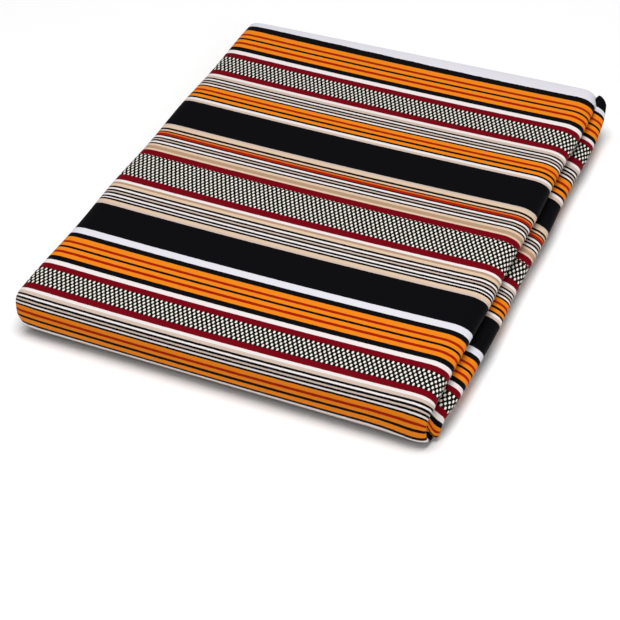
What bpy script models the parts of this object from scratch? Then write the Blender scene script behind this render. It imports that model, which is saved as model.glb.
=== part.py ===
# Folded length of striped wax print cloth, lying flat.
# The length is first folded up along its stripes, in three, in three again and in half, which
# makes a soft strip of eighteen plies with its big rolled fold on the right. The strip is then
# folded in three across the stripes: the top layer runs to the front, turns round the big front
# fold, runs back underneath, turns up at the back and comes forward again between the other two,
# where it ends inside the front fold.
# One solid holds the three layers, a little apart. X runs along the stripes, Y to the back, Z up,
# and the origin is under the middle, on the surface that the cloth lies on.

import math
from collections import namedtuple

import bmesh
import bpy

WIDTH = 0.305  # along the stripes
DEPTH = 0.4075  # front fold to back fold
LAYER = 0.0127  # one soft layer of eighteen plies
GAP = 0.001  # air between two layers
HEIGHT = 3 * LAYER + 2 * GAP

ROLL = 0.015  # how far in from its crest a right-hand roll starts to round
LEFT_ROUND = 0.010  # the same for the tighter folds on the left
LEAN = 0.044  # how much fuller the rolled side is than the middle, as a share of the height
PRESSED = 0.6  # thickness that the bottom layer's roll keeps, under the two fuller ones
PRESSED_REACH = 0.045  # how far in from the right the layers start to shift for it
PRESSED_BEND = 0.03  # how softly they shift, as a share of the height

END_ROUND = 0.008  # length over which a layer thins down to its selvedges
END_TIP = 0.36  # thickness left at the selvedges
RIGHT_CORNER = 0.010  # plan radius of the layers' corners on the rolled side
LEFT_CORNER = 0.005
TOP_INSET = 0.0105  # the top layer's selvedges lie this far in from the back fold
FREE_GAP = 0.0012  # clearance between the inner layer's end and the front fold

WAVE = 0.0006  # the edges wander this much
WAVE_LENGTH = 0.115

ROLL_STEPS = 12
LEFT_STEPS = 6
MIDDLE_STEPS = 5
END_STEPS = 5
FLAT_STEPS = 8
FOLD_STEPS = 18
MERGE = 0.00001
SHARP_ANGLE = math.radians(50)

# A fold's side view: how far it reaches past the flat layers, how high its foremost line is as a
# share of its height, and how square its upper and lower halves are (2 is an ellipse).
Nose = namedtuple("Nose", "reach waist over under")
FRONT_OUTSIDE = Nose(reach=0.0140, waist=0.62, over=4.0, under=2.0)
FRONT_INSIDE = Nose(reach=0.0054, waist=0.50, over=2.2, under=2.2)
BACK_OUTSIDE = Nose(reach=0.0120, waist=0.50, over=2.4, under=2.4)
BACK_INSIDE = Nose(reach=0.0012, waist=0.50, over=2.0, under=2.0)

# Turned is the angle that the strip's outer face has turned through since the top layer. Right
# and left are how far the strip reaches past WIDTH / 2 on each side.
Edge = namedtuple("Edge", "turned right left")
EDGES = (
    Edge(0, -0.004, 0.000),  # top layer
    Edge(90, -0.007, 0.000),  # front fold
    Edge(180, -0.007, -0.001),  # bottom layer
    Edge(270, -0.002, -0.003),  # back fold
    Edge(360, 0.004, -0.002),  # middle layer
)

# A station is one line of the strip along X: where its outer and its inner face are, the angle
# turned, and how far it is from the selvedges.
Station = namedtuple("Station", "outside inside turned from_end")


def smooth(share):
    share = min(max(share, 0), 1)
    return share * share * (3 - 2 * share)


def round_end(distance, reach):
    """1 away from an end, falling in a quarter ellipse to 0 at the end."""
    short = 1 - min(distance / reach, 1)
    return math.sqrt(1 - short * short)


def nose_point(nose, y, towards, share, bottom, top):
    """A fold's (y, z) at a share of the way round it from its top. Towards is -1 at the front."""
    waist = bottom + (top - bottom) * nose.waist
    over = share <= 0.5
    power = 2 / (nose.over if over else nose.under)
    bulge = nose.reach * math.sin(math.pi * share) ** power
    rise = abs(math.cos(math.pi * share)) ** power
    z = waist + (top - waist) * rise if over else waist - (waist - bottom) * rise
    return y + towards * bulge, z


def flat_run(start, end, outside_z, inside_z, turned, selvedge):
    """Stations of a flat layer. Selvedge is the y of its free end, or None."""
    places = [start + (end - start) * k / FLAT_STEPS for k in range(FLAT_STEPS)]
    if selvedge is not None:
        curve = [END_ROUND * (1 - math.cos(math.pi / 2 * k / END_STEPS)) for k in range(END_STEPS)]
        if selvedge == end:
            places = [y for y in places if abs(y - end) > END_ROUND] + [end + d for d in curve[::-1]]
        else:
            places = [start - d for d in curve] + [y for y in places if abs(y - start) > END_ROUND]
    return [
        Station((y, outside_z), (y, inside_z), turned, DEPTH if selvedge is None else abs(y - selvedge))
        for y in places
    ]


def stations():
    """The strip's lines along X, from the top layer's selvedges to the middle layer's."""
    front = FRONT_OUTSIDE.reach - DEPTH / 2
    back = DEPTH / 2 - BACK_OUTSIDE.reach
    top_end = DEPTH / 2 - TOP_INSET
    inner_end = front - FRONT_INSIDE.reach + FREE_GAP
    middle_top = 2 * LAYER + GAP

    line = flat_run(top_end, front, HEIGHT, HEIGHT - LAYER, 0, top_end)
    for k in range(FOLD_STEPS):
        share = k / FOLD_STEPS
        outside = nose_point(FRONT_OUTSIDE, front, -1, share, 0, HEIGHT)
        inside = nose_point(FRONT_INSIDE, front, -1, share, LAYER, HEIGHT - LAYER)
        line.append(Station(outside, inside, 180 * share, DEPTH))
    line += flat_run(front, back, 0, LAYER, 180, None)
    for k in range(FOLD_STEPS):
        share = k / FOLD_STEPS
        outside = nose_point(BACK_OUTSIDE, back, 1, 1 - share, 0, middle_top)
        inside = nose_point(BACK_INSIDE, back, 1, 1 - share, LAYER, LAYER + GAP)
        line.append(Station(outside, inside, 180 + 180 * share, DEPTH))
    line += flat_run(back, inner_end, middle_top, LAYER + GAP, 360, inner_end)
    return line


def edge_at(turned):
    """How far the strip reaches at an angle between two rows of EDGES."""
    for before, after in zip(EDGES, EDGES[1:]):
        if turned <= after.turned:
            share = smooth((turned - before.turned) / (after.turned - before.turned))
            right = before.right + (after.right - before.right) * share
            left = before.left + (after.left - before.left) * share
            return right, left
    return EDGES[-1].right, EDGES[-1].left


def sides(station):
    """Where the strip's left and right crests are at a station, corners and wander included."""
    right, left = edge_at(station.turned)
    right_cut = RIGHT_CORNER * (1 - round_end(station.from_end, RIGHT_CORNER))
    left_cut = LEFT_CORNER * (1 - round_end(station.from_end, LEFT_CORNER))
    phase = 2 * math.pi * station.outside[0] / WAVE_LENGTH + math.radians(station.turned)
    return (
        -WIDTH / 2 - left + left_cut + WAVE * math.cos(phase),
        WIDTH / 2 + right - right_cut + WAVE * math.sin(phase),
    )


def ring(left, right):
    """Once round the strip's section: (x, depth), with depth 0 on the outer face and 1 inside."""
    flat_left, flat_right = left + LEFT_ROUND, right - ROLL
    flat = [flat_left + (flat_right - flat_left) * k / MIDDLE_STEPS for k in range(MIDDLE_STEPS)]
    points = [(x, 0) for x in flat]
    for k in range(ROLL_STEPS + 1):
        a = math.pi * k / ROLL_STEPS
        points.append((flat_right + ROLL * math.sin(a), (1 - math.cos(a)) / 2))
    points += [(x, 1) for x in flat[:0:-1]]
    for k in range(LEFT_STEPS + 1):
        a = math.pi * k / LEFT_STEPS
        points.append((flat_left - LEFT_ROUND * math.sin(a), (1 + math.cos(a)) / 2))
    return points


def bent(share):
    """A straight 0 up to the bottom layer's top, then rising, with a soft bend between."""
    past = share - (LAYER + GAP / 2) / HEIGHT
    return (past + math.hypot(past, PRESSED_BEND)) / 2


def settled(x, z):
    """The height of a point once the bottom roll is pressed and the rolled side is fuller."""
    share = z / HEIGHT
    upper = (bent(share) - bent(0)) / (bent(1) - bent(0))
    pressed = HEIGHT * (PRESSED * share + (1 - PRESSED) * upper)
    near_rolls = smooth((x - WIDTH / 2 + PRESSED_REACH) / PRESSED_REACH)
    return (z + (pressed - z) * near_rolls) * (1 + LEAN * x / (WIDTH / 2))


def place(station, x, depth):
    """The point of the strip at a station, a place across it and a depth into it."""
    taper = END_TIP + (1 - END_TIP) * round_end(station.from_end, END_ROUND)
    if station.turned == 0:
        depth = 1 - (1 - depth) * taper  # the top layer's end keeps its underside level
    else:
        depth = 0.5 + (depth - 0.5) * taper
    y = station.outside[0] + (station.inside[0] - station.outside[0]) * depth
    z = station.outside[1] + (station.inside[1] - station.outside[1]) * depth
    return x, y, settled(x, z)


def centre_over_origin(mesh):
    """Puts the middle of the mesh's plan over the origin."""
    xs = [vertex.co.x for vertex in mesh.vertices]
    ys = [vertex.co.y for vertex in mesh.vertices]
    for vertex in mesh.vertices:
        vertex.co.x -= (min(xs) + max(xs)) / 2
        vertex.co.y -= (min(ys) + max(ys)) / 2


def folded_cloth():
    """A grid wrapped round the strip's section at every station, closed at both selvedge ends."""
    line = stations()
    around = len(ring(0, WIDTH)) - 1
    along = len(line) - 1
    bpy.ops.mesh.primitive_grid_add(x_subdivisions=around, y_subdivisions=along, size=1)
    cloth = bpy.context.object
    cloth.name = "folded_cloth"
    for vertex in cloth.data.vertices:
        station = line[round((0.5 - vertex.co.y) * along)]
        x, depth = ring(*sides(station))[round((vertex.co.x + 0.5) * around)]
        vertex.co = place(station, x, depth)
    centre_over_origin(cloth.data)
    shell = bmesh.new()
    shell.from_mesh(cloth.data)
    bmesh.ops.remove_doubles(shell, verts=shell.verts, dist=MERGE)
    bmesh.ops.holes_fill(shell, edges=shell.edges)
    bmesh.ops.recalc_face_normals(shell, faces=shell.faces)
    shell.to_mesh(cloth.data)
    shell.free()
    cloth.data.shade_smooth()
    cloth.data.set_sharp_from_angle(angle=SHARP_ANGLE)
    return cloth


def printed_cotton():
    """Smooth waxed cotton, in the orange that shows most between its black stripes."""
    cotton = bpy.data.materials.new("printed_cotton")
    cotton.use_nodes = True
    shader = cotton.node_tree.nodes["Principled BSDF"]
    shader.inputs["Base Color"].default_value = (0.55, 0.19, 0.03, 1)
    shader.inputs["Roughness"].default_value = 0.62
    shader.inputs["Metallic"].default_value = 0
    return cotton


def build():
    for old in list(bpy.data.objects):
        bpy.data.objects.remove(old, do_unlink=True)
    parts = bpy.data.collections.new("wax_print_cloth")
    bpy.context.scene.collection.children.link(parts)
    cloth = folded_cloth()
    cloth.data.materials.append(printed_cotton())
    for home in list(cloth.users_collection):
        home.objects.unlink(cloth)
    parts.objects.link(cloth)


build()
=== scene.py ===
import math
from collections import namedtuple

import bpy
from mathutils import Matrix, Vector


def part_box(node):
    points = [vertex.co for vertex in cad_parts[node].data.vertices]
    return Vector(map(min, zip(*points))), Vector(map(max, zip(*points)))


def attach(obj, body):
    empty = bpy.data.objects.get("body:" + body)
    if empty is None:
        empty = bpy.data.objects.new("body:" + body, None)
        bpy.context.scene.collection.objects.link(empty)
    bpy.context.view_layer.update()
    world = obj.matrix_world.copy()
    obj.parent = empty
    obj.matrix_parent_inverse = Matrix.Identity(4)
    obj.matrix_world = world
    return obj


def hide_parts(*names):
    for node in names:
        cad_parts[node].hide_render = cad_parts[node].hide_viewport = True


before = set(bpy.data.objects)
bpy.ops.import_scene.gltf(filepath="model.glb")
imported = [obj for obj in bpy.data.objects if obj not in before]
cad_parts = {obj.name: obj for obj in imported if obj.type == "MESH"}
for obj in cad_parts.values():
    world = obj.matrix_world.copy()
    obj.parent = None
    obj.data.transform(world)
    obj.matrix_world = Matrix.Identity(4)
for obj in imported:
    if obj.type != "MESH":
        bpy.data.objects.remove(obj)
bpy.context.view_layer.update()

# A folded length of striped wax print, one continuous cloth. The length is folded up along its
# stripes into a strip of eighteen plies, with its nine turns on the right and its tighter ones on
# the left. The strip is folded in three across the stripes, as the solid is: the top layer runs to
# the front, turns down round the big front fold, runs back underneath, turns up at the back, and
# comes forward between the other two.

# Sizes in metres. The solid gives the outline.
LOW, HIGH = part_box("folded_cloth")
DEPTH = HIGH.y - LOW.y
WIDTH = 0.305  # along the stripes
CENTRE_X = LOW.x + 0.1531  # the middle of the width, a little left of the box's
LAYER = 0.0127  # a layer of eighteen plies
GAP = 0.001  # air between two layers
MIDDLE_TOP = 2 * LAYER + GAP
HEIGHT = 3 * LAYER + 2 * GAP
CLOTH = 0.00028  # thickness of the cloth

PLIES = 18
PITCH = 1 / PLIES  # a ply's share of the layer's thickness

ROLL = 0.015  # how far in from its crest the outermost right-hand turn starts
RING_GAP = 0.0007  # how far each right-hand turn lies inside the next
LEFT_TURN = 0.009  # the same as ROLL for the widest left-hand turns
LEFT_TURN_SPAN = 5  # which run from a ply to the fifth one after it
LEAN = 0.044  # how much fuller the rolled side is than the middle, as a share of the height
PRESSED = 0.6  # thickness that the bottom layer's roll keeps, under the two fuller ones
PRESSED_REACH = 0.045  # how far in from the right the layers start to shift for it
PRESSED_BEND = 0.03  # how softly they shift, as a share of the height

LEFT_REACH = 0.017  # the left side falls away softly over this width
LEFT_FALL = 0.05  # by this share of the height
LEFT_DRAW = 0.22  # and the front fold's bulge is this much less there

END_ROUND = 0.005  # length over which a layer thins down to its selvedges
END_TIP = 0.75  # share of its thickness left at the selvedges
RIGHT_CORNER = 0.0035  # plan radius of the layers' corners on the rolled side
LEFT_CORNER = 0.003
FREE_GAP = 0.0012  # clearance between the middle layer's end and the front fold
TOP_INSET = 0.0072  # the top layer's selvedges lie this far in from the back fold
TOP_SKEW = 0.0018  # and run this much further back on the right, and less far on the left
SKEW_REACH = 0.06  # length of the layer that is skewed with them
TOP_DRAW = 0.0005  # the top layer's roll draws in this much towards the front fold
TOP_DRAW_REACH = 0.06

# The middle layer's roll draws in towards its back and its front end.
BACK_DRAW = 0.0035
BACK_DRAW_START = 0.186  # the y that it starts from
BACK_DRAW_LENGTH = 0.018
FRONT_DRAW = 0.0065
FRONT_DRAW_LENGTH = 0.050
FRONT_DRAW_CURVE = 1.6  # 1 would be even, and more draws in most of it at the end

# Beside the front fold, the middle layer's end turns down over its own edge.
HANG_LENGTH = 0.014  # length of the layer that turns down
HANG_REACH = 0.011  # how far forward it still comes at its top
HANG_FOOT = 0.3  # share of that at its foot
HANG_DROP = 0.005
HANG_INSET = 0.013  # how far in from the width's edge it starts
HANG_WIDTH = 0.010  # and it is whole after this width
HANG_THICKNESS = 1.2 * LAYER  # the layer is fuller there

# The back fold's roll bulges up behind the top layer's corner, and the corner droops towards it.
BULGE = 0.0155
BULGE_START = 0.179  # the y that it starts from
BULGE_LENGTH = 0.013
BULGE_INSET = 0.013  # how far in from the width's edge it starts
BULGE_WIDTH = 0.009
DROOP = 0.0038
DROOP_LENGTH = 0.014
DROOP_INSET = 0.014
DROOP_WIDTH = 0.011

WAVE = 0.0006  # the strip's edges wander this much
WAVE_LENGTH = 0.115

# How many steps each part of the strip is made in.
TOP_STEPS = 21
FOLD_STEPS = 24
BOTTOM_STEPS = 7
BACK_STEPS = 22
BACK_CLOSER = 0.8  # how much closer the back fold's steps are at its foot and its top
MIDDLE_STEPS = 13
END_STEPS = 5
RIGHT_OUTER_STEPS = {1: 20, 2: 14}
RIGHT_INNER_STEPS = 8
LEFT_OUTER_STEPS = 10
LEFT_INNER_STEPS = 6

# A fold's side view: how far it reaches past the flat layers, how high its foremost line is as a
# share of its height, and how square its upper and lower halves are (2 is an ellipse).
Nose = namedtuple("Nose", "reach waist over under")
FRONT_OUTSIDE = Nose(reach=0.0140, waist=0.62, over=4.0, under=1.7)
FRONT_INSIDE = Nose(reach=0.0054, waist=0.50, over=2.2, under=2.2)
BACK_OUTSIDE = Nose(reach=0.0120, waist=0.50, over=5.0, under=2.4)
BACK_INSIDE = Nose(reach=0.0012, waist=0.50, over=2.0, under=2.0)
FRONT = FRONT_OUTSIDE.reach - DEPTH / 2  # the y where the front fold starts
BACK = DEPTH / 2 - BACK_OUTSIDE.reach

# Turned is the angle that the strip's outer face has turned through since the top layer. Right
# and left are how far the strip reaches past WIDTH / 2 on each side.
Edge = namedtuple("Edge", "turned right left")
EDGES = (
    Edge(0, -0.004, 0.0025),  # top layer
    Edge(90, -0.0065, 0.0025),  # front fold
    Edge(180, -0.0045, -0.001),  # bottom layer
    Edge(270, -0.002, -0.003),  # back fold
    Edge(360, 0.004, -0.002),  # middle layer
)

# Plies are counted from the strip's outer face. On the right, ply n turns into ply 19 - n. On the
# left they turn in the pairs below, and the cut ends of plies 9 and 18 lie free. Inset is how far
# in from the left edge a turn lies.
LeftTurn = namedtuple("LeftTurn", "outer inner inset")
LEFT_TURNS = (
    LeftTurn(1, 6, 0.0000),
    LeftTurn(2, 5, 0.0008),
    LeftTurn(3, 4, 0.0016),
    LeftTurn(7, 8, 0.0030),
    LeftTurn(10, 15, 0.0009),
    LeftTurn(11, 14, 0.0017),
    LeftTurn(12, 13, 0.0025),
    LeftTurn(16, 17, 0.0034),
)
FREE_PLIES = {9: 0.0042, 18: 0.0055}
FIRST_PLY = 9

# Across the flat part of a ply, its points lie at these shares of the width.
FLAT_SHARES = (0, 0.03, 0.07, 0.13, 0.22, 0.34, 0.46, 0.58, 0.70, 0.80, 0.86, 0.91, 0.955, 1)

# The print, one repeat from the back to the front: a colour and its stripe's width in millimetres.
# Checks are counted in rows instead.
CHECK_ROW = 3.38
CHECK_COLUMN = 1.75
DOT_EDGE = 0.25  # how much smaller and rounder than its cell a light check is
REPEAT = """
white 7.0, black 5.3, orange 5.2, red 2.7, orange 3.9, black 2.4, orange 4.1, red 2.8, orange 4.4,
black 5.4, cream 4.8, crimson 6.1, checks 6, crimson 6.166, cream 2.8, beige 3.0,
black 2.0, cream 1.8, black 2.0, beige 1.6, black 2.0, cream 1.8, black 1.9,
orange 3.9, red 2.5, orange 3.2, black 2.3, orange 3.5, black 2.2, cream 2.7, beige 2.8,
black 35.0, beige 2.2, sand 3.5, black 2.4, sand 1.9, black 1.5,
rust 1.6, red 2.6, black 1.5, cream 2.1, black 2.0, beige 1.4, black 2.2, cream 2.1, black 1.8,
sand 2.6, tan 4.0, sand 2.2, crimson 6.75, checks 9, crimson 7.4, cream 2.9, tan 2.4, sand 3.3,
black 2.3, cream 2.1, black 2.1, beige 1.6, black 2.3, cream 2.1, black 2.2, cream 1.2, black 2.2,
sand 3.2, beige 2.6, black 34.0
"""
INKS = {
    "white": (0.690, 0.672, 0.728),
    "black": (0.0026, 0.0025, 0.0034),
    "orange": (0.770, 0.215, 0.009),
    "rust": (0.620, 0.130, 0.020),
    "red": (0.330, 0.012, 0.002),
    "crimson": (0.158, 0.0008, 0.006),
    "cream": (0.760, 0.700, 0.690),
    "beige": (0.560, 0.450, 0.380),
    "sand": (0.660, 0.490, 0.350),
    "tan": (0.410, 0.265, 0.170),
    "checks": (0, 0, 0),
}
CHECK_DARK = (0.0026, 0.0025, 0.0025, 1)
CHECK_LIGHT = (0.78, 0.75, 0.68, 1)
RAMPS = 12  # colour ramps that share the stripes of a repeat between them
TILE_WIDTH = 86 * 2 * CHECK_COLUMN / 1000  # the cloth's width in one tile of its print

FIRST_STRIPE_Y = 0.1809  # the back white band meets black here
BACK_RATE = 0.897  # the print's pull at that line: print per cloth
RATE_RISE = 0.30  # how fast the pull eases towards the front
WHITE_END_RATE = 0.15  # share of that pull over the white selvedge
MIDDLE_REPEATS = 3  # how many repeats further on the middle layer is

# The stripes don't run quite straight over the top: they lie back from the line by millimetres,
# where across runs from -1 on the left to 1 on the right, and deep from -1 in front to 1 behind.
Drift = namedtuple("Drift", "whole across deep twist across_bow deep_bow")
STRIPE_DRIFT = Drift(whole=2.2, across=-0.6, deep=-1.3, twist=-1.2, across_bow=2.6, deep_bow=-2.4)

# Round the front fold the print is drawn down at these places: how far round from the fold's top,
# and how far on in the print, in millimetres.
FoldMark = namedtuple("FoldMark", "round on")
FRONT_PRINT = (
    FoldMark(0, 0),
    FoldMark(8.6, 8.9),
    FoldMark(18.7, 22.0),
    FoldMark(30.5, 34.0),
    FoldMark(46.0, 45.2),
    FoldMark(58.0, 57.0),
)

# On the middle layer the print is at these places: y, and how far into the repeat, in millimetres.
# Within a black band and a band of checks it skips to the like one, and at the front it turns back.
PrintMark = namedtuple("PrintMark", "y into")
MIDDLE_PRINT = (
    PrintMark(206.0, -19.3),
    PrintMark(186.7, 0.0),
    PrintMark(185.0, 7.0),
    PrintMark(183.8, 12.3),
    PrintMark(147.5, 53.5),
    PrintMark(125.0, 75.0),
    PrintMark(96.0, 99.5),
    PrintMark(67.0, 122.7),
    PrintMark(33.5, 156.8),
    PrintMark(-10.0, 200.1),
    PrintMark(-13.5, 203.7),
    PrintMark(-13.505, 53.5),
    PrintMark(-35.5, 75.0),
    PrintMark(-81.7, 122.7),
    PrintMark(-98.0, 139.0),
    PrintMark(-98.005, 289.0),
    PrintMark(-115.0, 306.2),
    PrintMark(-162.0, 359.7),
    PrintMark(-170.7, 368.6),
    PrintMark(-178.7, 359.7),
    PrintMark(-180.8, 357.0),
    PrintMark(-187.0, 346.8),
    PrintMark(-194.0, 329.3),
)

PRINT_WOBBLE = 0.0005  # how far the print's edges wobble along the weave
WOBBLE_SCALE = 260
THREAD_SCALE = (60, 2600, 1)
CROSS_THREAD_SCALE = (2600, 60, 1)
BROAD_SCALE = 14
YARN = 0.00062  # spacing of the yarns' bumps
BUMP_HEIGHT = 0.00006

# The photo's view: from the right of the front, well above, through a long lens.
CAMERA_ROUND = math.radians(23.0)
CAMERA_UP = math.radians(40.1)
CAMERA_AWAY = 1.1964
CAMERA_AIM = Vector((CENTRE_X + 0.0302, -0.1172, 0.0185))
CAMERA_LENS = 99.8
CAMERA_SENSOR = 36

# A station is one line of the strip along X: where its outer and its inner face are, the angle
# turned, how far it is from the selvedges, and how far into the print its outer face is.
Station = namedtuple("Station", "outside inside turned from_end print_at")

# A point of the strip's section reaches in from the right edge (anchor 1) or the left one (-1), or
# lies at a share of the flat part between (0). Depth is 0 on the outer face and 1 on the inner.
Point = namedtuple("Point", "anchor reach depth")


def smooth(share):
    share = min(max(share, 0), 1)
    return share * share * (3 - 2 * share)


def round_end(distance, reach):
    """1 away from an end, falling in a quarter ellipse to 0 at the end."""
    short = 1 - min(max(distance / reach, 0), 1)
    return math.sqrt(1 - short * short)


def between(start, end, share):
    return start + (end - start) * share


def lengths_along(places):
    """How far each place is from the first, along the line through all of them."""
    lengths = [0]
    for before, after in zip(places, places[1:]):
        lengths.append(lengths[-1] + math.dist(before, after))
    return lengths


def stripes():
    """The repeat as rows of (ink, start, width), in metres, and its whole length."""
    rows, start = [], 0
    for row in REPEAT.replace("\n", " ").split(","):
        ink, width = row.split()
        width = float(width) * (CHECK_ROW if ink == "checks" else 1) / 1000
        rows.append((ink, start, width))
        start += width
    return rows, start


STRIPES, REPEAT_LENGTH = stripes()
WHITE_BAND = STRIPES[0][2]


def print_on_top(y):
    """How far into the print a straight line of the top layer is."""
    along = FIRST_STRIPE_Y - y
    return WHITE_BAND + BACK_RATE * along + RATE_RISE * along * along


def drift(x, y):
    """How far back the stripes lie from their line, in metres."""
    across, deep = (x - CENTRE_X) / (WIDTH / 2), y / (DEPTH / 2)
    lie = STRIPE_DRIFT.whole + STRIPE_DRIFT.across * across + STRIPE_DRIFT.deep * deep
    lie += STRIPE_DRIFT.twist * across * deep
    lie += STRIPE_DRIFT.across_bow * across ** 2 + STRIPE_DRIFT.deep_bow * deep ** 2
    return lie / 1000


def white_end(at):
    """The top layer's selvedge is white too, so behind the white band the print hardly moves on."""
    half = WHITE_BAND / 2
    return at if at > half else half + (at - half) * WHITE_END_RATE


def print_on_fold(way):
    """How far on in the print the front fold is, at a way round it in metres."""
    for before, after in zip(FRONT_PRINT, FRONT_PRINT[1:]):
        if way * 1000 <= after.round:
            share = (way * 1000 - before.round) / (after.round - before.round)
            return between(before.on, after.on, share) / 1000
    return FRONT_PRINT[-1].on / 1000


def print_on_middle(y):
    """How far into the print a line of the middle layer is."""
    into = MIDDLE_PRINT[-1].into
    for before, after in zip(MIDDLE_PRINT, MIDDLE_PRINT[1:]):
        if y * 1000 >= after.y:
            into = between(before.into, after.into, (before.y - y * 1000) / (before.y - after.y))
            break
    return MIDDLE_REPEATS * REPEAT_LENGTH + into / 1000


def nose_point(nose, y, towards, share, bottom, top):
    """A fold's (y, z) at a share of the way round it from its top. Towards is -1 at the front."""
    waist = between(bottom, top, nose.waist)
    over = share <= 0.5
    power = 2 / (nose.over if over else nose.under)
    bulge = nose.reach * math.sin(math.pi * share) ** power
    rise = abs(math.cos(math.pi * share)) ** power
    z = waist + (top - waist) * rise if over else waist - (waist - bottom) * rise
    return y + towards * bulge, z


def flat_places(start, end, steps):
    return [between(start, end, k / steps) for k in range(steps)]


def end_places(end, inwards):
    """The y of the stations at a layer's selvedges, closer together at the very end."""
    shares = [1 - math.cos(math.pi / 2 * k / END_STEPS) for k in range(END_STEPS)]
    return [end + inwards * END_ROUND * share for share in shares]


def top_stations():
    end = DEPTH / 2 - TOP_INSET
    places = [y for y in flat_places(end, FRONT, TOP_STEPS) if end - y > END_ROUND]
    return [
        Station((y, HEIGHT), (y, HEIGHT - LAYER), 0, end - y, print_on_top(y))
        for y in end_places(end, -1) + places
    ]


def front_fold_stations():
    made = []
    for k in range(FOLD_STEPS):
        share = k / FOLD_STEPS
        outside = nose_point(FRONT_OUTSIDE, FRONT, -1, share, 0, HEIGHT)
        inside = nose_point(FRONT_INSIDE, FRONT, -1, share, LAYER, HEIGHT - LAYER)
        made.append(Station(outside, inside, 180 * share, DEPTH, None))
    return made


def bottom_stations():
    places = flat_places(FRONT, BACK, BOTTOM_STEPS)
    return [Station((y, 0), (y, LAYER), 180, DEPTH, None) for y in places]


def back_fold_stations():
    """The back fold from its foot to its top. Its print goes on from the middle layer's."""
    made = []
    for k in range(BACK_STEPS):
        way = 2 * math.pi * k / BACK_STEPS
        share = (way - BACK_CLOSER * math.sin(way)) / (2 * math.pi)
        outside = nose_point(BACK_OUTSIDE, BACK, 1, 1 - share, 0, MIDDLE_TOP)
        inside = nose_point(BACK_INSIDE, BACK, 1, 1 - share, LAYER, LAYER + GAP)
        at = print_on_middle(outside[0]) - (MIDDLE_TOP - outside[1])
        made.append(Station(outside, inside, 180 + 180 * share, DEPTH, at))
    return made


def middle_stations():
    """The middle layer from the back fold to its selvedges, with a station at each print mark."""
    end = FRONT - FRONT_INSIDE.reach + FREE_GAP
    places = [y for y in flat_places(BACK, end, MIDDLE_STEPS) if y - end > END_ROUND]
    places += end_places(end, 1)
    places += [mark.y / 1000 for mark in MIDDLE_PRINT if end < mark.y / 1000 < BACK]
    return [
        Station((y, MIDDLE_TOP), (y, LAYER + GAP), 360, y - end, print_on_middle(y))
        for y in sorted(places, reverse=True)
    ]


def printed_between(fold, hidden, after):
    """Gives the fold and the hidden stations their print: round the front fold as charted, and
    from there evenly to where the next station's print is."""
    stations = fold + hidden
    ways = lengths_along([station.outside for station in stations + [after]])
    foot = len(fold)
    foot_at = print_on_top(FRONT) + print_on_fold(ways[foot])
    done = []
    for k, station in enumerate(stations):
        if k <= foot:
            at = print_on_top(FRONT) + print_on_fold(ways[k])
        else:
            share = (ways[k] - ways[foot]) / (ways[-1] - ways[foot])
            at = between(foot_at, after.print_at, share)
        done.append(station._replace(print_at=at))
    return done


def strip_stations():
    """The strip's lines along X, from the top layer's selvedges to the middle layer's."""
    back_fold = back_fold_stations()
    half = BACK_STEPS // 2 + 1  # its lower half, with its hindmost line
    hidden = bottom_stations() + back_fold[:half]
    inner = back_fold[half:] + middle_stations()
    return top_stations() + printed_between(front_fold_stations(), hidden, inner[0]) + inner


def edge_at(turned):
    """How far the strip reaches on the right and the left, at an angle between rows of EDGES."""
    for before, after in zip(EDGES, EDGES[1:]):
        if turned <= after.turned:
            share = smooth((turned - before.turned) / (after.turned - before.turned))
            break
    return between(before.right, after.right, share), between(before.left, after.left, share)


def drawn_in(station):
    """How far in the strip's right side is at a station, at a corner or where its roll draws in."""
    y = station.outside[0]
    corner = RIGHT_CORNER * (1 - round_end(station.from_end, RIGHT_CORNER))
    if station.turned == 0:
        return corner + TOP_DRAW * smooth(1 - (y - FRONT) / TOP_DRAW_REACH)
    if station.turned < 180:
        return corner + TOP_DRAW * smooth(1 - station.turned / 90)
    back = BACK_DRAW * smooth((y - BACK_DRAW_START) / BACK_DRAW_LENGTH)
    if station.turned < 360:
        return corner + back
    near_end = max(1 - station.from_end / FRONT_DRAW_LENGTH, 0)
    return FRONT_DRAW * near_end ** FRONT_DRAW_CURVE + back


def sides(station):
    """Where the strip's left and right crests are at a station, corners and wander included."""
    right, left = edge_at(station.turned)
    left_cut = LEFT_CORNER * (1 - round_end(station.from_end, LEFT_CORNER))
    phase = 2 * math.pi * station.outside[0] / WAVE_LENGTH + math.radians(station.turned)
    return (
        CENTRE_X - WIDTH / 2 - left + left_cut + WAVE * math.cos(phase),
        CENTRE_X + WIDTH / 2 + right - drawn_in(station) + WAVE * math.sin(phase),
    )


def ply_depth(ply):
    return (ply - 0.5) * PITCH


def free_end(ply):
    return Point(-1, FREE_PLIES[ply], ply_depth(ply))


def flat_ply(ply):
    """A ply's flat part, from the left to the right."""
    return [Point(0, share, ply_depth(ply)) for share in FLAT_SHARES]


def turn(anchor, before, after, inset, reach, steps):
    """A turn from one ply into another: half an ellipse, nested in the ones outside it."""
    middle = (ply_depth(before) + ply_depth(after)) / 2
    half = ply_depth(before) - middle
    points = []
    for k in range(steps + 1):
        a = math.pi * k / steps
        points.append(Point(anchor, inset + reach * (1 - math.sin(a)), middle + half * math.cos(a)))
    return points


def right_turn(ply):
    """The turn at a ply's right end and the ply that it leads to."""
    other = PLIES + 1 - ply
    outer = min(ply, other)
    reach = ROLL * abs(other - ply) / (PLIES - 1)
    steps = RIGHT_OUTER_STEPS.get(outer, RIGHT_INNER_STEPS)
    return turn(1, ply, other, RING_GAP * (outer - 1), reach, steps), other


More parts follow.
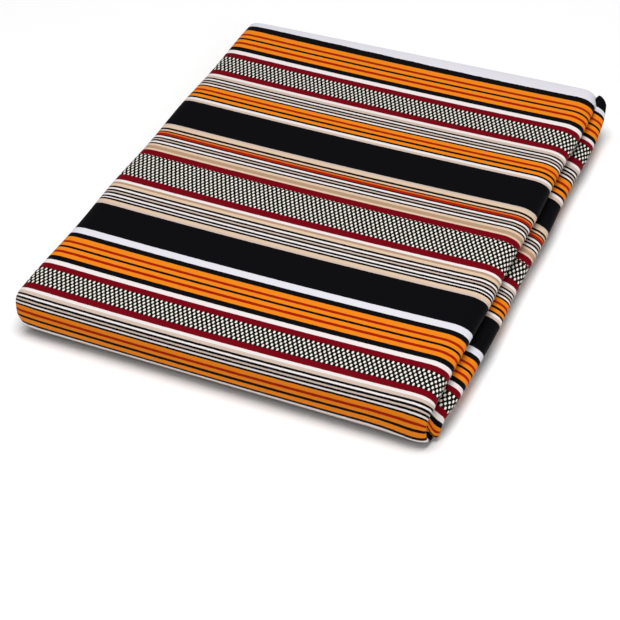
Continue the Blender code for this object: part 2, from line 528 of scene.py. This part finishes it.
def left_turn(ply):
    """The turn at a ply's left end and the ply that it leads to."""
    pair = next(pair for pair in LEFT_TURNS if ply in (pair.outer, pair.inner))
    other = pair.outer + pair.inner - ply
    reach = LEFT_TURN * (pair.inner - pair.outer) / LEFT_TURN_SPAN
    steps = LEFT_OUTER_STEPS if pair.outer == 1 else LEFT_INNER_STEPS
    return turn(-1, ply, other, pair.inset, reach, steps), other


def strip_points():
    """Once along the length, through all the plies, from one cut end to the other."""
    ply, points = FIRST_PLY, [free_end(FIRST_PLY)]
    while True:
        turned, other = right_turn(ply)
        points += flat_ply(ply) + turned + flat_ply(other)[::-1]
        if other in FREE_PLIES:
            return points + [free_end(other)]
        turned, ply = left_turn(other)
        points += turned


def bent(share):
    """A straight 0 up to the bottom layer's top, then rising, with a soft bend between."""
    past = share - (LAYER + GAP / 2) / HEIGHT
    return (past + math.hypot(past, PRESSED_BEND)) / 2


def settled(x, z, left):
    """The height of a point once the bottom roll is pressed, and the left side falls away."""
    share = z / HEIGHT
    across = (x - CENTRE_X) / (WIDTH / 2)
    upper = (bent(share) - bent(0)) / (bent(1) - bent(0))
    pressed = HEIGHT * (PRESSED * share + (1 - PRESSED) * upper)
    near_rolls = smooth((x - CENTRE_X - WIDTH / 2 + PRESSED_REACH) / PRESSED_REACH)
    fall = LEFT_FALL * (1 - round_end(x - left, LEFT_REACH))
    return between(z, pressed, near_rolls) * (1 + LEAN * across) * (1 - fall)


def point_x(point, left, right):
    if point.anchor < 0:
        return left + point.reach
    if point.anchor > 0:
        return right - point.reach
    return between(left + LEFT_TURN, right - ROLL, point.reach)


def near_right(x, inset, width):
    """0 up to an inset from the width's right edge, rising to 1 over a width from there."""
    return smooth((x - CENTRE_X - WIDTH / 2 + inset) / width)


def shifted(station, x, y, left):
    """The y of a point once the top layer is skewed and the front fold's left end draws back."""
    if station.turned == 0:
        skew = TOP_SKEW * (x - CENTRE_X) / (WIDTH / 2)
        return y + skew * smooth(1 - station.from_end / SKEW_REACH)
    if station.turned < 180:
        draw = LEFT_DRAW * (1 - round_end(x - left, LEFT_REACH))
        return between(y, FRONT, draw)
    return y


def raised(station, x, y):
    """How far the bulge behind the top layer's corner rises, or the corner droops."""
    if station.turned == 0:
        near_end = smooth(1 - station.from_end / DROOP_LENGTH)
        return -DROOP * near_end * near_right(x, DROOP_INSET, DROOP_WIDTH)
    if station.turned > 270:
        behind = smooth((y - BULGE_START) / BULGE_LENGTH) * smooth(station.turned / 90 - 3)
        return BULGE * behind * near_right(x, BULGE_INSET, BULGE_WIDTH)
    return 0


def hanging(station, x, y, z, base):
    """The (y, z) of a point at the middle layer's front end, which turns down on the right."""
    turned = math.pi / 2 * (1 - station.from_end / HANG_LENGTH)
    start = station.outside[0] - station.from_end + HANG_LENGTH
    forward = between(HANG_FOOT, 1, (z - base) / HANG_THICKNESS)
    hung_y = start - HANG_REACH * forward * math.sin(turned)
    hung_z = base + (z - base) * math.cos(turned) - HANG_DROP * math.sin(turned) ** 2
    beside = near_right(x, HANG_INSET, HANG_WIDTH)
    return between(y, hung_y, beside), between(z, hung_z, beside)


def place(station, point):
    """The place in space of a point of the strip's section at a station."""
    left, right = sides(station)
    x = point_x(point, left, right)
    taper = END_TIP + (1 - END_TIP) * round_end(station.from_end, END_ROUND)
    if station.turned == 0:
        depth = 1 - (1 - point.depth) * taper  # the top layer's end keeps its underside level
    else:
        depth = 0.5 + (point.depth - 0.5) * taper
    y = shifted(station, x, between(station.outside[0], station.inside[0], depth), left)
    z = settled(x, between(station.outside[1], station.inside[1], depth), left)
    z += raised(station, x, y)
    if station.turned == 360 and station.from_end < HANG_LENGTH:
        y, z = hanging(station, x, y, z, settled(x, LAYER + GAP, left))
    return Vector((x, y, z))


def print_here(station, spot):
    """How far into the print a spot of the cloth is."""
    if station.turned == 0:
        return white_end(print_on_top(spot.y - drift(spot.x, spot.y)))
    if station.turned < 180:
        fading = smooth(2 - station.turned / 90)
        return station.print_at + drift(spot.x, FRONT) * fading
    return station.print_at


def fold_cloth():
    """A flat grid, one side along the length and one across it, folded up point by point."""
    points, line = strip_points(), strip_stations()
    along_steps, over_steps = len(points) - 1, len(line) - 1
    on_top = line[len(line) // 8]
    lengths = lengths_along([place(on_top, point) for point in points])
    bpy.ops.object.select_all(action="DESELECT")
    bpy.ops.mesh.primitive_grid_add(x_subdivisions=along_steps, y_subdivisions=over_steps, size=1)
    cloth = bpy.context.object
    cloth.name = "wax_print_cloth"
    prints = []
    for vertex in cloth.data.vertices:
        k = round((vertex.co.x + 0.5) * along_steps)
        station = line[round((0.5 - vertex.co.y) * over_steps)]
        vertex.co = place(station, points[k])
        prints.append((lengths[k], print_here(station, vertex.co)))
    map_print(cloth.data, prints)
    thicken(cloth)
    cloth.data.shade_smooth()
    return cloth


def map_print(mesh, prints):
    """The print's map in metres, and the same map in tiles of the print."""
    for name in list(mesh.uv_layers.keys()):
        mesh.uv_layers.remove(mesh.uv_layers[name])
    metres = mesh.uv_layers.new(name="print")
    tiles = mesh.uv_layers.new(name="OFBake")
    for loop in mesh.loops:
        along, over = prints[loop.vertex_index]
        metres.uv[loop.index].vector = (along, over)
        tiles.uv[loop.index].vector = (along / TILE_WIDTH, over / REPEAT_LENGTH)


def thicken(cloth):
    solid = cloth.modifiers.new("thickness", "SOLIDIFY")
    solid.thickness = CLOTH
    solid.offset = 0
    bpy.context.view_layer.objects.active = cloth
    bpy.ops.object.modifier_apply(modifier=solid.name)


class Shader:
    """Short ways to add a material's nodes."""

    def __init__(self, name):
        self.material = bpy.data.materials.new(name)
        self.material.use_nodes = True
        self.tree = self.material.node_tree
        self.surface = self.tree.nodes["Principled BSDF"]

    def put(self, socket, value):
        """Links another node's output to a socket, or sets a plain value."""
        if isinstance(value, bpy.types.NodeSocket):
            self.tree.links.new(value, socket)
        else:
            socket.default_value = value

    def node(self, kind, inputs=None, **settings):
        made = self.tree.nodes.new(kind)
        for name, value in settings.items():
            setattr(made, name, value)
        for key, value in (inputs or {}).items():
            self.put(made.inputs[key], value)
        return made

    def finish(self, name, value):
        self.put(self.surface.inputs[name], value)

    def calc(self, operation, a, b=0.0):
        return self.node("ShaderNodeMath", {0: a, 1: b}, operation=operation).outputs[0]

    def wave(self, value, length):
        return self.calc("SINE", self.calc("MULTIPLY", value, 2 * math.pi / length))

    def mix(self, share, a, b):
        return self.node("ShaderNodeMix", {0: share, 6: a, 7: b}, data_type="RGBA").outputs[2]

    def noise(self, vector, scale, detail=2.0):
        made = self.node("ShaderNodeTexNoise", {"Vector": vector, "Scale": scale, "Detail": detail})
        return made.outputs[0]

    def scaled(self, vector, scale):
        return self.node("ShaderNodeMapping", {"Vector": vector, "Scale": scale}).outputs[0]

    def ramp(self, share, rows):
        """A colour ramp of plain stripes, given as (start, colour)."""
        made = self.node("ShaderNodeValToRGB", {0: share})
        made.color_ramp.interpolation = "CONSTANT"
        stops = made.color_ramp.elements
        stops.remove(stops[1])
        stops[0].position, stops[0].color = 0, (*rows[0][1], 1)
        for start, colour in rows[1:]:
            stops.new(start).color = (*colour, 1)
        return made.outputs[0]


def stripe_colours(cotton, share):
    """All the stripes of a repeat. Each ramp covers a short part of it, which keeps edges exact."""
    colour = None
    for part in range(RAMPS):
        rows = []
        for ink, start, width in STRIPES:
            start, end = (edge / REPEAT_LENGTH * RAMPS - part for edge in (start, start + width))
            if start < 1 and end > 0:
                rows.append((max(start, 0), INKS[ink]))
        local = cotton.calc("SUBTRACT", cotton.calc("MULTIPLY", share, RAMPS), part)
        piece = cotton.ramp(local, rows)
        if colour is None:
            colour = piece
        else:
            colour = cotton.mix(cotton.calc("GREATER_THAN", share, part / RAMPS), colour, piece)
    return colour


def check_mask(cotton, share):
    """1 within the bands of checks."""
    mask = 0
    for ink, start, width in STRIPES:
        if ink == "checks":
            past = cotton.calc("GREATER_THAN", share, start / REPEAT_LENGTH)
            before = cotton.calc("LESS_THAN", share, (start + width) / REPEAT_LENGTH)
            mask = cotton.calc("ADD", mask, cotton.calc("MULTIPLY", past, before))
    return mask


def check_colours(cotton, along, share):
    """Light checks on black, in rows that start where the first band of checks does."""
    first_check = next(start for ink, start, width in STRIPES if ink == "checks")
    over = cotton.calc("SUBTRACT", cotton.calc("MULTIPLY", share, REPEAT_LENGTH), first_check)
    columns = cotton.wave(along, 2 * CHECK_COLUMN / 1000)
    rows = cotton.wave(over, 2 * CHECK_ROW / 1000)
    dots = cotton.calc("GREATER_THAN", cotton.calc("MULTIPLY", columns, rows), DOT_EDGE)
    return cotton.mix(dots, CHECK_DARK, CHECK_LIGHT)


def print_colour(cotton, spot):
    """The stripes and the checks, with edges that wobble a little."""
    wobble = cotton.calc("SUBTRACT", cotton.noise(spot, WOBBLE_SCALE), 0.5)
    off = cotton.calc("MULTIPLY", wobble, PRINT_WOBBLE)
    split = cotton.node("ShaderNodeSeparateXYZ", {0: spot})
    along = cotton.calc("ADD", split.outputs[0], off)
    over = cotton.calc("ADD", split.outputs[1], off)
    share = cotton.calc("FRACT", cotton.calc("DIVIDE", over, REPEAT_LENGTH))
    checks = check_colours(cotton, along, share)
    return cotton.mix(check_mask(cotton, share), stripe_colours(cotton, share), checks)


def thread_tone(cotton, threads, broad):
    """How light the print is, from thread to thread and from place to place."""
    tone = cotton.calc("ADD", cotton.calc("MULTIPLY", threads, 0.10), 0.86)
    return cotton.calc("ADD", tone, cotton.calc("MULTIPLY", broad, 0.08))


def weave_bump(cotton, spot, threads):
    """The small bumps of a plain weave, with uneven yarns."""
    split = cotton.node("ShaderNodeSeparateXYZ", {0: spot})
    warp, weft = (cotton.wave(split.outputs[k], YARN) for k in (0, 1))
    weave = cotton.calc("MULTIPLY", warp, weft)
    slubs = cotton.calc("MULTIPLY", threads, 0.6)
    height = cotton.calc("ADD", weave, slubs)
    return cotton.node(
        "ShaderNodeBump", {"Strength": 0.35, "Distance": BUMP_HEIGHT, "Height": height}
    ).outputs[0]


def printed_cotton():
    """Smooth plain-weave cotton, printed on both faces, with a soft waxy sheen."""
    cotton = Shader("printed_cotton")
    spot = cotton.node("ShaderNodeUVMap", uv_map="print").outputs[0]
    threads = cotton.calc("ADD", cotton.noise(cotton.scaled(spot, THREAD_SCALE), 1),
                          cotton.noise(cotton.scaled(spot, CROSS_THREAD_SCALE), 1))
    broad = cotton.noise(spot, BROAD_SCALE, 3)
    tone = thread_tone(cotton, threads, broad)
    toned = {0: print_colour(cotton, spot), "Scale": tone}
    colour = cotton.node("ShaderNodeVectorMath", toned, operation="SCALE").outputs[0]
    cotton.finish("Base Color", colour)
    cotton.finish("Normal", weave_bump(cotton, spot, threads))
    cotton.finish("Roughness", cotton.calc("ADD", 0.50, cotton.calc("MULTIPLY", broad, 0.16)))
    cotton.finish("Specular IOR Level", 0.025)
    cotton.finish("Sheen Weight", 0.006)
    cotton.finish("Sheen Roughness", 0.45)
    return cotton.material


def pale_floor():
    bpy.ops.object.select_all(action="DESELECT")
    bpy.ops.mesh.primitive_plane_add(size=8, location=(0, 0, 0))
    floor = bpy.context.object
    floor.name = "floor"
    board = Shader("pale_board")
    board.finish("Base Color", (0.96, 0.96, 0.96, 1))
    board.finish("Roughness", 0.7)
    board.finish("Specular IOR Level", 0.2)
    floor.data.materials.append(board.material)
    return floor


def soft_light(name, at, size, power):
    """A round lamp that faces the origin."""
    lamp = bpy.data.lights.new(name, "AREA")
    lamp.shape = "DISK"
    lamp.size = size
    lamp.energy = power
    holder = bpy.data.objects.new(name, lamp)
    bpy.context.scene.collection.objects.link(holder)
    holder.location = at
    holder.rotation_euler = (-Vector(at)).to_track_quat("-Z", "Y").to_euler()


def studio():
    world = bpy.data.worlds.new("studio")
    world.use_nodes = True
    world.node_tree.nodes["Background"].inputs["Color"].default_value = (1, 1, 1, 1)
    world.node_tree.nodes["Background"].inputs["Strength"].default_value = 0.30
    bpy.context.scene.world = world
    soft_light("key", at=(0.10, -0.30, 1.95), size=1.1, power=34)
    soft_light("fill", at=(1.4, -1.3, 1.1), size=1.4, power=6)
    bpy.context.scene.view_settings.view_transform = "Standard"


def camera_at():
    away = Vector((
        math.sin(CAMERA_ROUND) * math.cos(CAMERA_UP),
        -math.cos(CAMERA_ROUND) * math.cos(CAMERA_UP),
        math.sin(CAMERA_UP),
    ))
    lens = bpy.data.cameras.new("camera")
    lens.sensor_width = CAMERA_SENSOR
    lens.lens = CAMERA_LENS
    holder = bpy.data.objects.new("camera", lens)
    bpy.context.scene.collection.objects.link(holder)
    holder.location = CAMERA_AIM + away * CAMERA_AWAY
    holder.rotation_euler = (-away).to_track_quat("-Z", "Y").to_euler()
    bpy.context.scene.camera = holder


cloth = fold_cloth()
cloth.data.materials.append(printed_cotton())
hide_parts("folded_cloth")
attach(cloth, "root")
pale_floor()
studio()
camera_at()
